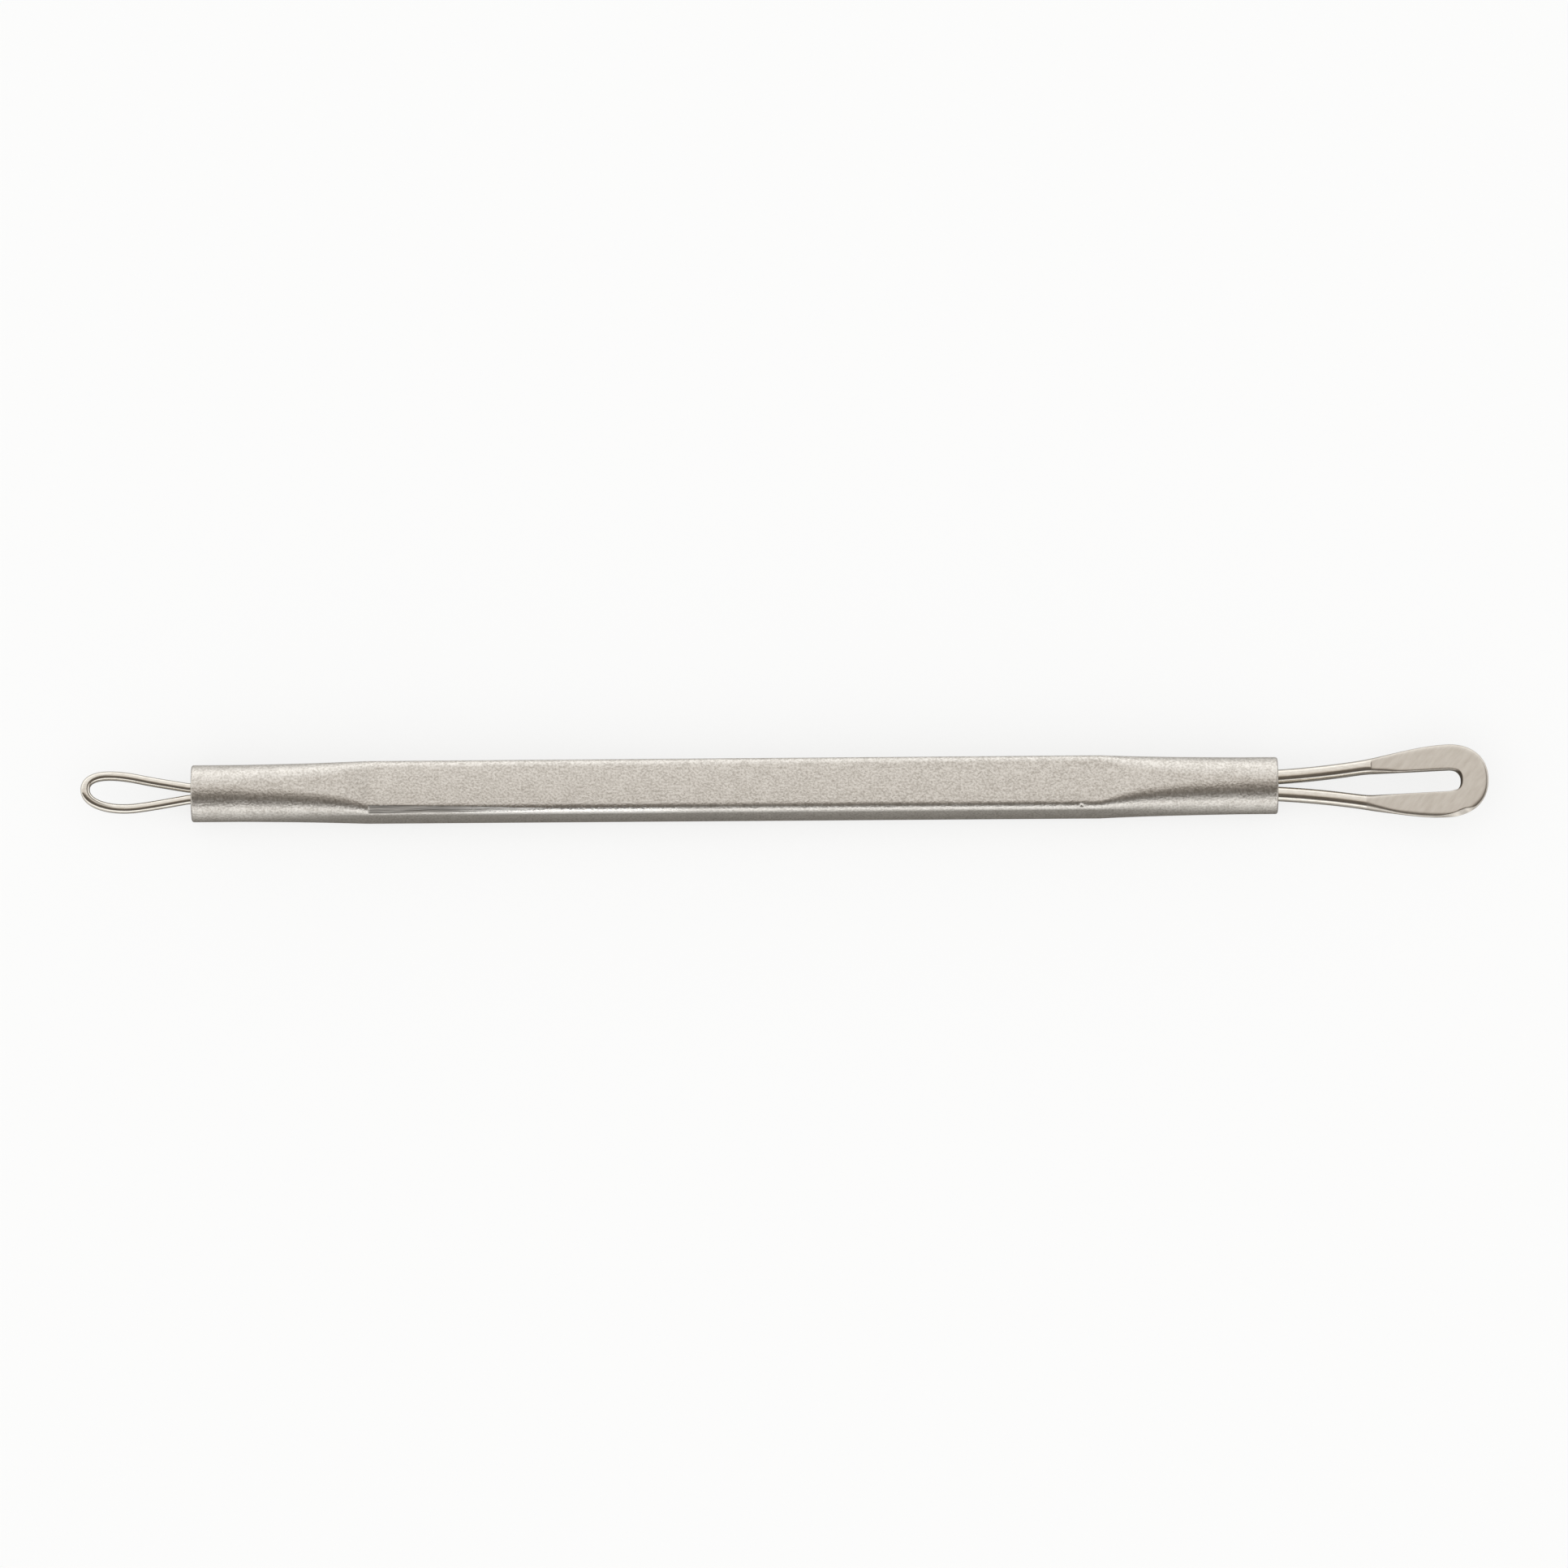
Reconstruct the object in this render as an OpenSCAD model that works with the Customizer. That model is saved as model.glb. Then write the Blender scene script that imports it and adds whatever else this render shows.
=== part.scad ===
// Comedone extractor: a pressed round bar with a fine wire loop at one end and a slotted loop,
// coined flat from thicker wire, at the other. Both loops stand in a blind bore and are soldered in.
// +X runs to the slotted end. The tool lies on its two round ends with its flats level and its loops
// bent up. The origin is on that surface, under the bar's axis and midway between the two tips.

/* [Bar] */
// Length of the handle from end face to end face
handle_len = 92.5; // [80:0.5:120]
// Diameter of the round bar that the handle is pressed from
bar_d = 4.85; // [4.6:0.05:6]
// Radius that breaks the edge of each end face
end_edge_r = 0.2; // [0.05:0.05:0.4]

/* [Pressed middle] */
// Length of bar beyond the pressed middle at each end
round_end_len = 15.1; // [13:0.1:20]
// How much wider than the bar the pressed middle is
press_spread = 0.02; // [0:0.02:0.2]
// How much thinner than the bar the middle is next to the fine end
press_fine = 0.85; // [0.5:0.05:1.2]
// How much thinner than the bar the middle is next to the slotted end
press_slot = 0.98; // [0.5:0.02:1.2]
// Corner radius of the middle next to the fine end
corner_r_fine = 0.84; // [0.4:0.02:1]
// Corner radius of the middle next to the slotted end
corner_r_slot = 0.7; // [0.4:0.05:1]
// Radius of the slight crown on the narrow faces
side_crown_r = 40; // [20:5:100]
// Length over which the flats run out into the round bar towards the fine end
ramp_len_fine = 5.2; // [4:0.2:8]
// Length over which the flats run out into the round bar towards the slotted end
ramp_len_slot = 7.6; // [4:0.2:8]
// Length over which the corners and narrow faces round off towards the fine end
round_off_fine = 11; // [8:0.5:12]
// Length over which the corners and narrow faces round off towards the slotted end
round_off_slot = 12; // [8:0.5:12]
// Shape of all these run-outs: 1 is a straight ramp, more makes it steeper at the die mark
run_out_power = 2.5; // [1:0.1:3]

/* [Scuffed facet] */
// Length of the facet that fades along one corner from the fine end's die mark
facet_len = 17.6; // [10:0.2:30]
// Depth of the facet at the die mark
facet_depth = 0.11; // [0.04:0.01:0.15]
// Angle between the facet and the flat
facet_angle = 38; // [30:1:50]

/* [Fine loop] */
// Wire diameter of the fine loop
fine_wire_d = 0.8; // [0.6:0.05:1]
// How far the fine loop stands out of the handle
fine_reach = 9.4; // [8.5:0.1:14]
// Space between the two legs where they leave the handle
fine_leg_gap = 0.22; // [0.1:0.02:0.5]
// Angle at which each leg leans outwards
fine_leg_angle = 10.1; // [7:0.1:13]
// Length of the straight part of each leg
fine_straight_len = 4.5; // [3:0.1:5]
// Fullness of the bow beside the legs
fine_side_pull = 2.5; // [1.5:0.1:3]
// Fullness of the bow at the tip
fine_tip_pull = 1.3; // [0.8:0.05:1.8]
// Distance from the handle to the middle of the long bend that lifts the tip
fine_bend_at = 5; // [4.5:0.1:6]
// Angle by which the tip is bent up
fine_bend_angle = 20; // [5:1:25]
// Length of each leg inside the handle
fine_seat_len = 8; // [5:0.5:11]

/* [Slotted loop] */
// Wire diameter of the slotted loop
slot_wire_d = 1.25; // [1:0.05:1.4]
// How far the slotted loop stands out of the handle
slot_reach = 17.9; // [16:0.1:22]
// Space between the two legs where they leave the handle
slot_leg_gap = 0.26; // [0.2:0.02:0.6]
// Outward slope of each leg where it leaves the handle
slot_leg_slope = 0.06; // [0:0.01:0.08]
// How fast that slope grows along the leg
slot_leg_bow = 0.0065; // [0.004:0.0005:0.012]
// Width of the whole paddle at its widest place
paddle_w = 6.48; // [5.6:0.02:7.4]
// Distance from the tip back to the widest place
paddle_round_len = 3.5; // [3:0.1:5]
// Thickness of the coined paddle
paddle_t = 0.55; // [0.4:0.05:0.8]
// Width of the slot between the paddle's arms
slot_w = 1.9; // [1.4:0.05:2.2]
// Metal left between the slot's end and the tip
tip_land = 2.18; // [1.6:0.02:3]
// Length of the rounded end of the slot
slot_round_len = 1.1; // [0.8:0.05:1.6]
// Distance from the handle to the die edge across the upper leg
die_edge_upper = 8.1; // [7.6:0.1:9]
// Depth of the step that the die edge leaves on the upper leg
die_step = 0.1; // [0.04:0.02:0.3]
// Distance from the handle to the point where the flat starts on the lower leg
die_edge_lower = 7.6; // [7:0.1:9]
// Distance from the handle to where the paddle has its full thinness
coin_end = 10.8; // [10:0.1:12]
// Distance from the handle to the bend that lifts the paddle
slot_bend_at = 8; // [7:0.1:9]
// Angle by which the paddle is bent up
slot_bend_angle = 8.6; // [3:0.2:15]
// Length of each leg inside the handle
slot_seat_len = 10; // [6:0.5:11]

/* [Soldered seats] */
// Film of solder between a leg and the wall of its bore
solder_film = 0.06; // [0.04:0.02:0.15]
// Depth of the solder below the end face
solder_recess = 0.12; // [0.05:0.01:0.3]

/* [Hidden] */
$fn = 96;

bar_r = bar_d / 2;
handle_x = (fine_reach - slot_reach) / 2;
press_a = (bar_d + press_spread) / 2;
press_b_fine = (bar_d - press_fine) / 2;
press_b_slot = (bar_d - press_slot) / 2;
mark_fine = round_end_len - handle_len / 2;
mark_slot = handle_len / 2 - round_end_len;
ramp_top_fine = mark_fine - ramp_len_fine;
ramp_top_slot = mark_slot + ramp_len_slot;
round_top_fine = mark_fine - round_off_fine;
round_top_slot = mark_slot + round_off_slot;
round_off_r = 0.9 * bar_r;
section_step = 6;
run_steps = 9;
run_spacing = 1.6;
skin_inset = 0.004;
skin_overlap = 0.5;

fine_wire_r = fine_wire_d / 2;
fine_leg_y = (fine_leg_gap + fine_wire_d) / 2;
fine_root_bend = 0.5;
fine_bend_len = 5;
fine_sides = 16;
fine_tip_x = fine_reach - fine_wire_r;
fine_slope = tan(fine_leg_angle);
fine_bore_d = fine_leg_gap + 2 * fine_wire_d + 2 * solder_film;

slot_leg_y = (slot_leg_gap + slot_wire_d) / 2;
slot_wire_flat = 0.02;
slot_leg_end = 6.4;
slot_side_start = 8.2;
slot_tip_bend = 1.2;
slot_end_x = slot_reach - tip_land;
slot_round_x = slot_end_x - slot_round_len;
paddle_wide_x = slot_reach - paddle_round_len;
outer_power = 2.2;
slot_power = 2.6;
die_gap = 0.01;
slot_bore_d = slot_leg_gap + 2 * slot_wire_d + 2 * solder_film;

// Share of the way from 0 to 1, held at both ends
function share(v, from, to) = max(0, min(1, (v - from) / (to - from)));
// The same share, eased at both ends
function eased(v, from, to) = let (s = share(v, from, to)) s * s * (3 - 2 * s);
// Height of a curve that leaves y0 with slope m0 and arrives level at y1
function settle(v, from, to, y0, m0, y1) =
    let (s = share(v, from, to), len = to - from)
    y0 * (1 + 2 * s) * pow(1 - s, 2) + m0 * len * s * pow(1 - s, 2) + y1 * s * s * (3 - 2 * s);
// Rise of a path that turns to a slope within a bend centred on v = at
function bent(v, at, bend, slope) =
    v <= at - bend / 2 ? 0
    : v >= at + bend / 2 ? slope * (v - at)
    : slope * pow(v - at + bend / 2, 2) / (2 * bend);
// Slope of that path
function bent_slope(v, at, bend, slope) = slope * share(v, at - bend / 2, at + bend / 2);
function unit(v) = v / norm(v);
function cubic(p0, p1, p2, p3, t) =
    pow(1 - t, 3) * p0 + 3 * t * pow(1 - t, 2) * p1 + 3 * t * t * (1 - t) * p2 + pow(t, 3) * p3;

// Half thickness, corner radius and side radius of the bar's section at x
function press_b(x) = press_b_fine + (press_b_slot - press_b_fine) * share(x, mark_fine, mark_slot);
function run_out(x, low, high) = min(share(x, low, mark_fine), share(x, high, mark_slot));
function sunk(x) = pow(run_out(x, ramp_top_fine, ramp_top_slot), run_out_power);
function flattened(x) = run_out(x, round_top_fine, round_top_slot);
function corner_r(x) =
    let (pressed = corner_r_fine + (corner_r_slot - corner_r_fine) * share(x, mark_fine, mark_slot))
    round_off_r + (pressed - round_off_r) * pow(flattened(x), run_out_power);
function half_b(x) = let (top = bar_r - 2 * skin_inset) top - (top - press_b(x)) * sunk(x);
function half_a(x) = bar_r - skin_inset + (press_a - bar_r + skin_inset) * flattened(x);
function side_r(x) = 1 / ((1 - flattened(x)) / (bar_r - skin_inset) + flattened(x) / side_crown_r);

// A quarter of the section by the angle of its normal: the narrow face is an arc of radius rho, and
// the corner an arc of radius r that touches both it and the flat
function quarter(phi, a, b, rho, r) =
    let (
        turn = asin(min(1, (b - r) / (rho - r))),
        corner_y = a - rho + sqrt(max(0, pow(rho - r, 2) - pow(b - r, 2)))
    )
    phi < turn ? [a - rho + rho * cos(phi), rho * sin(phi)]
    : [corner_y + r * cos(phi), b - r + r * sin(phi)];

function bar_ring(x) =
    let (
        q = [for (phi = [0 : section_step : 90]) quarter(phi, half_a(x), half_b(x), side_r(x), corner_r(x))],
        n = len(q) - 1
    )
    [
        for (i = [0 : n]) [x, q[i].x, q[i].y],
        for (i = [n : -1 : 0]) [x, -q[i].x, q[i].y],
        for (i = [1 : n]) [x, -q[i].x, -q[i].y],
        for (i = [n : -1 : 1]) [x, q[i].x, -q[i].y]
    ];

// Skins a row of equal rings and closes both ends
module skin(rings) {
    n = len(rings[0]);
    m = len(rings);
    polyhedron(
        points = [for (ring = rings, p = ring) p],
        faces = [
            [for (i = [0 : n - 1]) i],
            [for (i = [n - 1 : -1 : 0]) (m - 1) * n + i],
            for (k = [0 : m - 2], i = [0 : n - 1])
                let (j = (i + 1) % n)
                each [
                    [k * n + i, (k + 1) * n + i, (k + 1) * n + j],
                    [k * n + i, (k + 1) * n + j, k * n + j]
                ]
        ]
    );
}

// Stations along the pressed bar, closer together next to each die mark
function run_share(i) = pow(i / run_steps, run_spacing);
bar_stations = [
    round_top_fine - skin_overlap,
    for (i = [run_steps : -1 : 0]) mark_fine - round_off_fine * run_share(i),
    0,
    for (i = [0 : run_steps]) mark_slot + round_off_slot * run_share(i),
    round_top_slot + skin_overlap
];

// Round end of the bar, from its end face at 0 inwards along +X
module round_end(len) {
    rotate([0, 90, 0])
        rotate_extrude()
            polygon([
                [0, 0],
                for (t = [0 : 15 : 90])
                    [bar_r - end_edge_r * (1 - sin(t)), end_edge_r * (1 - cos(t))],
                [bar_r, len],
                [0, len]
            ]);
}

// Blind bore from the end face at 0 inwards along +X
module seat_bore(d, depth) {
    rotate([0, 90, 0]) translate([0, 0, -1]) cylinder(d = d, h = depth + 1);
}

// Reach of the section's corner from the bar's axis along the facet's normal
function facet_reach(x) =
    let (r = corner_r(x)) (press_a - r) * sin(facet_angle) + (press_b(x) - r) * cos(facet_angle) + r;

// Wedge that takes the scuffed facet off one corner and fades out of it
module facet_cut() {
    start = mark_fine + die_gap;
    far = mark_fine + facet_len;
    rise = (facet_reach(far) - facet_reach(start) + facet_depth) / (far - start);
    beyond = far + 2;
    height = 1;
    rotate([90 + facet_angle, 0, 0])
        linear_extrude(2 * press_a, center = true)
            polygon([
                [start, facet_reach(start) - facet_depth],
                [beyond, facet_reach(far) + rise * (beyond - far)],
                [beyond, facet_reach(far) + height],
                [start, facet_reach(far) + height]
            ]);
}

// Lays the bar down on its round ends
module at_rest() {
    translate([handle_x, 0, bar_r]) children();
}
module at_fine_end() {
    translate([-handle_len / 2, 0, 0]) mirror([1, 0, 0]) children();
}
module at_slotted_end() {
    translate([handle_len / 2, 0, 0]) children();
}

module handle() {
    color([0.74, 0.73, 0.69])
        at_rest()
            difference() {
                union() {
                    skin([for (x = bar_stations) bar_ring(x)]);
                    translate([-handle_len / 2, 0, 0]) round_end(round_end_len - round_off_fine);
                    translate([handle_len / 2, 0, 0])
                        mirror([1, 0, 0]) round_end(round_end_len - round_off_slot);
                }
                translate([-handle_len / 2, 0, 0]) seat_bore(fine_bore_d, fine_seat_len);
                translate([handle_len / 2, 0, 0])
                    mirror([1, 0, 0]) seat_bore(slot_bore_d, slot_seat_len);
                facet_cut();
            }
}

// Centre line of one side of the fine loop, from the foot of its leg to the tip, as distance from
// the handle and distance from the middle
function fine_leg(u) = [u, fine_leg_y + bent(u, fine_root_bend / 2, fine_root_bend, fine_slope)];
fine_bow_start = fine_leg(fine_straight_len);
fine_half = [
    [-fine_seat_len, fine_leg_y],
    for (u = [0, 0.17, 0.33, fine_root_bend]) fine_leg(u),
    for (i = [1 : 3]) fine_leg(fine_root_bend + (fine_straight_len - fine_root_bend) * i / 4),
    for (i = [0 : 12])
        cubic(
            fine_bow_start,
            fine_bow_start + fine_side_pull * [1, fine_slope],
            [fine_tip_x, fine_tip_pull],
            [fine_tip_x, 0],
            i / 12
        )
];
fine_path = [
    for (i = [0 : len(fine_half) - 1]) fine_half[i],
    for (i = [len(fine_half) - 2 : -1 : 0]) [fine_half[i].x, -fine_half[i].y]
];
function fine_lift(u) = bent(u, fine_bend_at, fine_bend_len, tan(fine_bend_angle));

// Round wire ring at one point of the path, square to it
function wire_ring(path, i, r, sides) =
    let (
        last = len(path) - 1,
        along = i == 0 || i == last ? [i == 0 ? 1 : -1, 0, 0]
            : unit(unit(path[i + 1] - path[i]) + unit(path[i] - path[i - 1])),
        out = unit(cross([0, 0, 1], along)),
        up = cross(along, out)
    )
    [for (s = [0 : sides - 1]) path[i] + r * (cos(360 * s / sides) * out + sin(360 * s / sides) * up)];

module fine_wire() {
    path = [for (p = fine_path) [p.x, p.y, fine_lift(p.x)]];
    skin([for (i = [0 : len(path) - 1]) wire_ring(path, i, fine_wire_r, fine_sides)]);
}

module fine_loop() {
    color([0.72, 0.70, 0.66]) at_rest() at_fine_end() fine_wire();
}

// Half distances of the slotted loop's inner and outer edges from the middle, by distance u from
// the handle, up to the start of the rounded tip
function slot_leg(u) = slot_leg_y + slot_leg_slope * max(0, u) + slot_leg_bow * pow(max(0, u), 2);
function slot_slope(u) = slot_leg_slope + 2 * slot_leg_bow * u;
function inner_y(u) =
    u < slot_leg_end ? slot_leg(u) - slot_wire_d / 2
    : settle(
        u, slot_leg_end, slot_side_start,
        slot_leg(slot_leg_end) - slot_wire_d / 2, slot_slope(slot_leg_end), slot_w / 2
    );
function outer_y(u) =
    u < slot_leg_end ? slot_leg(u) + slot_wire_d / 2
    : settle(
        u, slot_leg_end, paddle_wide_x,
        slot_leg(slot_leg_end) + slot_wire_d / 2, slot_slope(slot_leg_end), paddle_w / 2
    );
// Corner of a rounded end by the angle t round it: a quarter of a superellipse
function round_corner(x, len, y, power, t) =
    [x + len * pow(sin(t), 2 / power), y * pow(cos(t), 2 / power)];

// Stations of one side, each with its inner and outer edge
slot_stations = [-slot_seat_len, 0, 1.6, 3.2, 4.8, slot_leg_end, 7.1, 7.7, 8.2, 8.8, 9.4, 10, 10.4];
slot_half = [
    for (u = slot_stations) [[u, inner_y(u)], [u, outer_y(u)]],
    for (i = [0 : 4])
        let (
            near = coin_end + (slot_round_x - coin_end) * i / 5,
            far = coin_end + (paddle_wide_x - coin_end) * i / 5
        )
        [[near, inner_y(near)], [far, outer_y(far)]],
    for (t = [0 : 7.5 : 90])
        [
            round_corner(slot_round_x, slot_round_len, slot_w / 2, slot_power, t),
            round_corner(paddle_wide_x, paddle_round_len, paddle_w / 2, outer_power, t)
        ]
];
slot_edges = [
    for (e = slot_half) e,
    for (i = [len(slot_half) - 2 : -1 : 0])
        [for (p = slot_half[i]) [p.x, -p.y]]
];
function slot_lift(u) = bent(u, slot_bend_at, slot_tip_bend, tan(slot_bend_angle));
function slot_up(u) = unit([-bent_slope(u, slot_bend_at, slot_tip_bend, tan(slot_bend_angle)), 0, 1]);
function slot_t(u) =
    let (wire_t = slot_wire_d - slot_wire_flat)
    wire_t - (wire_t - paddle_t + die_gap) * eased(u, die_edge_lower - 0.2, coin_end);

// Ring between two facing edge points: flat over its middle and fully rounded at both edges
function band_ring(inner, outer) =
    let (
        lift_in = [inner.x, inner.y, slot_lift(inner.x)],
        lift_out = [outer.x, outer.y, slot_lift(outer.x)],
        mid = (lift_in + lift_out) / 2,
        out = unit(lift_out - lift_in),
        up = slot_up(mid.x),
        r = slot_t(mid.x) / 2,
        straight = norm(lift_out - lift_in) / 2 - r
    )
    [
        for (t = [-90 : 20 : 90]) mid + (straight + r * cos(t)) * out + r * sin(t) * up,
        for (t = [90 : 20 : 270]) mid + (r * cos(t) - straight) * out + r * sin(t) * up
    ];

// What one half of the coining die clears, above the face that it presses: from its edge at u the
// face slopes down from height z to the paddle's own face
module die_cut(u, z) {
    clear = 1;
    beyond = coin_end + 2;
    rotate([90, 0, 0])
        linear_extrude(paddle_w)
            polygon([
                [u, slot_lift(u) + z],
                [coin_end, slot_lift(coin_end) + paddle_t / 2],
                [beyond, slot_lift(beyond) + paddle_t / 2],
                [beyond, slot_lift(beyond) + clear],
                [u, slot_lift(u) + clear]
            ]);
}

module slotted_wire() {
    crest = slot_wire_d / 2;
    difference() {
        skin([for (e = slot_edges) band_ring(e[0], e[1])]);
        translate([0, paddle_w, 0]) die_cut(die_edge_upper, crest - die_step);
        die_cut(die_edge_lower, crest);
    }
}

module slotted_loop() {
    color([0.76, 0.73, 0.67]) at_rest() at_slotted_end() slotted_wire();
}

// Solder that fills a bore round the two legs, from its bottom to just below the end face
module solder_fill(d, depth) {
    rotate([0, -90, 0]) translate([0, 0, solder_recess]) cylinder(d = d, h = depth - solder_recess);
}

module fine_end_solder() {
    color([0.80, 0.79, 0.76])
        at_rest()
            at_fine_end()
                difference() {
                    solder_fill(fine_bore_d, fine_seat_len);
                    fine_wire();
                }
}

module slotted_end_solder() {
    color([0.80, 0.79, 0.76])
        at_rest()
            at_slotted_end()
                difference() {
                    solder_fill(slot_bore_d, slot_seat_len);
                    slotted_wire();
                }
}

handle();
fine_loop();
slotted_loop();
fine_end_solder();
slotted_end_solder();
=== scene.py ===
import math

import bpy
import numpy as np
from mathutils import Matrix, Vector


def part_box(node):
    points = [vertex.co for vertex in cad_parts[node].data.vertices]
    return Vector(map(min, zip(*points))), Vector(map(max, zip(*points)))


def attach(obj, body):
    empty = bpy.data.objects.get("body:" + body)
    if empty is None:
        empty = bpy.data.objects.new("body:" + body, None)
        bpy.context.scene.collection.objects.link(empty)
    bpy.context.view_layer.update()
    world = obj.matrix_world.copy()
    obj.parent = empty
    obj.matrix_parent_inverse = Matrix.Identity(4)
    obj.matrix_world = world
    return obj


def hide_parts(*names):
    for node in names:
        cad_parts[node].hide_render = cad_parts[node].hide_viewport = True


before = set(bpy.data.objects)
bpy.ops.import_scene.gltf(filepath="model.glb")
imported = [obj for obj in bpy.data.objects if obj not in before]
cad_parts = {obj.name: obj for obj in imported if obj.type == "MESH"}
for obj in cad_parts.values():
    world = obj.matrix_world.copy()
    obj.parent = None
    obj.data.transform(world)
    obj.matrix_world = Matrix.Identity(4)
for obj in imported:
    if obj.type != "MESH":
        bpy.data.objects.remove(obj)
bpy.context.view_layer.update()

mm = 0.001
fullTurn = 2 * math.pi


# Small curves that several pieces share

def share(v, start, end):  # 0 at start, 1 at end, straight between, held outside
    return np.clip((v - start) / (end - start), 0, 1)


def eased(v, start, end):  # the same share with a soft start and end: s*s*(3 - 2s)
    s = share(v, start, end)
    return s * s * (3 - 2 * s)


def bent(v, at, bend, slope):  # flat before the bend, a parabola inside it, a straight slope after
    inside = np.clip(v - at + bend / 2, 0, bend)
    return slope * (inside**2 / (2 * bend) + np.maximum(v - at - bend / 2, 0))


def settle(v, start, end, y0, m0, y1):  # cubic that leaves y0 with slope m0 and arrives level at y1
    s = share(v, start, end)
    return y0 * (1 + 2 * s) * (1 - s)**2 + m0 * (end - start) * s * (1 - s)**2 + y1 * s * s * (3 - 2 * s)


def unit(v):  # each row divided by its own length
    return v / np.linalg.norm(v, axis=-1, keepdims=True)


def spaced(*stretches):  # stations along a line: each stretch is (start, end, count), joins kept once
    parts = [np.linspace(a, b, n, endpoint=False) for a, b, n in stretches]
    return np.append(np.concatenate(parts), stretches[-1][1])


# The bar, in millimetres, in its own frame: x along it from its middle, flats level

handleLow, handleHigh = (np.array(c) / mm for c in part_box("handle"))
fineLow, fineHigh = (np.array(c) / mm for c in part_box("fine_loop"))
slottedLow, slottedHigh = (np.array(c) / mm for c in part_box("slotted_loop"))

bar = {
    "length": handleHigh[0] - handleLow[0],
    "radius": 2.425,
    "edgeRadius": 0.2,          # round on each end face's rim
    "boreRim": 0.04,            # broken edge at each bore's mouth
    "roundEnd": 15.1,           # from each end face to the die mark
    "pressedHalfWidth": 2.435,
    "pressedHalfFine": 2.0,     # half thickness over the flats, next to the fine end
    "pressedHalfSlot": 1.935,   # and next to the slotted end
    "cornerFine": 0.84,
    "cornerSlot": 0.7,
    "sideCrown": 40.0,
    "rampFine": 5.2,            # run-out of the flats beyond each die mark
    "rampSlot": 7.6,
    "roundOffFine": 11.0,       # and of the corners and narrow faces
    "roundOffSlot": 12.0,
    "runOutPower": 2.5,
    "facetLength": 17.6,
    "facetDepth": 0.11,
    "facetAngle": math.radians(38),
    "nickAt": 29.5,             # a small nick in the lower visible corner, x from the bar's middle
    "nickSize": 0.17,
    "nickDepth": 0.09,
    "flatCrown": 0.1,           # the flats stand this much prouder in the middle
    "fineBoreRadius": 0.97,
    "fineBoreDepth": 8.0,
    "slotBoreRadius": 1.44,
    "slotBoreDepth": 10.0,
    "around": 176,              # points round the bar
    "turnWeight": 1.0,          # how much closer they stand where the section turns
}
halfLength = bar["length"] / 2
markFine = bar["roundEnd"] - halfLength
markSlot = halfLength - bar["roundEnd"]
barX = (handleLow[0] + handleHigh[0]) / 2


def layDown(points):  # from the bar's own frame in millimetres to its place at rest in metres
    return (points + [barX, 0, bar["radius"]]) * mm


def closedGrid(name, rings, attributes=None):
    # Rings of equal count, skinned by quads, with a point in the middle of each end ring to close it
    n, m = rings.shape[:2]
    points = np.concatenate([rings.reshape(-1, 3), rings[:1].mean(axis=1), rings[-1:].mean(axis=1)])
    k, i = np.meshgrid(np.arange(n - 1), np.arange(m), indexing="ij")
    j = (i + 1) % m
    quads = np.stack([k * m + i, k * m + j, (k + 1) * m + j, (k + 1) * m + i], axis=-1).reshape(-1, 4)
    i = np.arange(m)
    j = (i + 1) % m
    first = np.stack([j, i, np.full(m, n * m)], axis=-1)
    last = np.stack([(n - 1) * m + i, (n - 1) * m + j, np.full(m, n * m + 1)], axis=-1)
    mesh = bpy.data.meshes.new(name)
    mesh.from_pydata(points.tolist(), [], quads.tolist() + first.tolist() + last.tolist())
    for key, values in (attributes or {}).items():
        flat = np.concatenate([values.reshape(-1), values[0, :1], values[-1, :1]]).astype(np.float32)
        mesh.attributes.new(key, "FLOAT", "POINT").data.foreach_set("value", flat)
    mesh.polygons.foreach_set("use_smooth", np.ones(len(mesh.polygons), bool))
    mesh.update()
    piece = bpy.data.objects.new(name, mesh)
    bpy.context.scene.collection.objects.link(piece)
    return piece


def runOut(x, fineLength, slotLength):  # 1 between the die marks, down to 0 at the ends of the run-outs
    return np.minimum(share(x, markFine - fineLength, markFine), share(x, markSlot + slotLength, markSlot))


def pressedSize(x):  # half thickness and corner radius of the pressed middle, both tapering along it
    along = share(x, markFine, markSlot)
    halfThick = bar["pressedHalfFine"] + (bar["pressedHalfSlot"] - bar["pressedHalfFine"]) * along
    return halfThick, bar["cornerFine"] + (bar["cornerSlot"] - bar["cornerFine"]) * along


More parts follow.
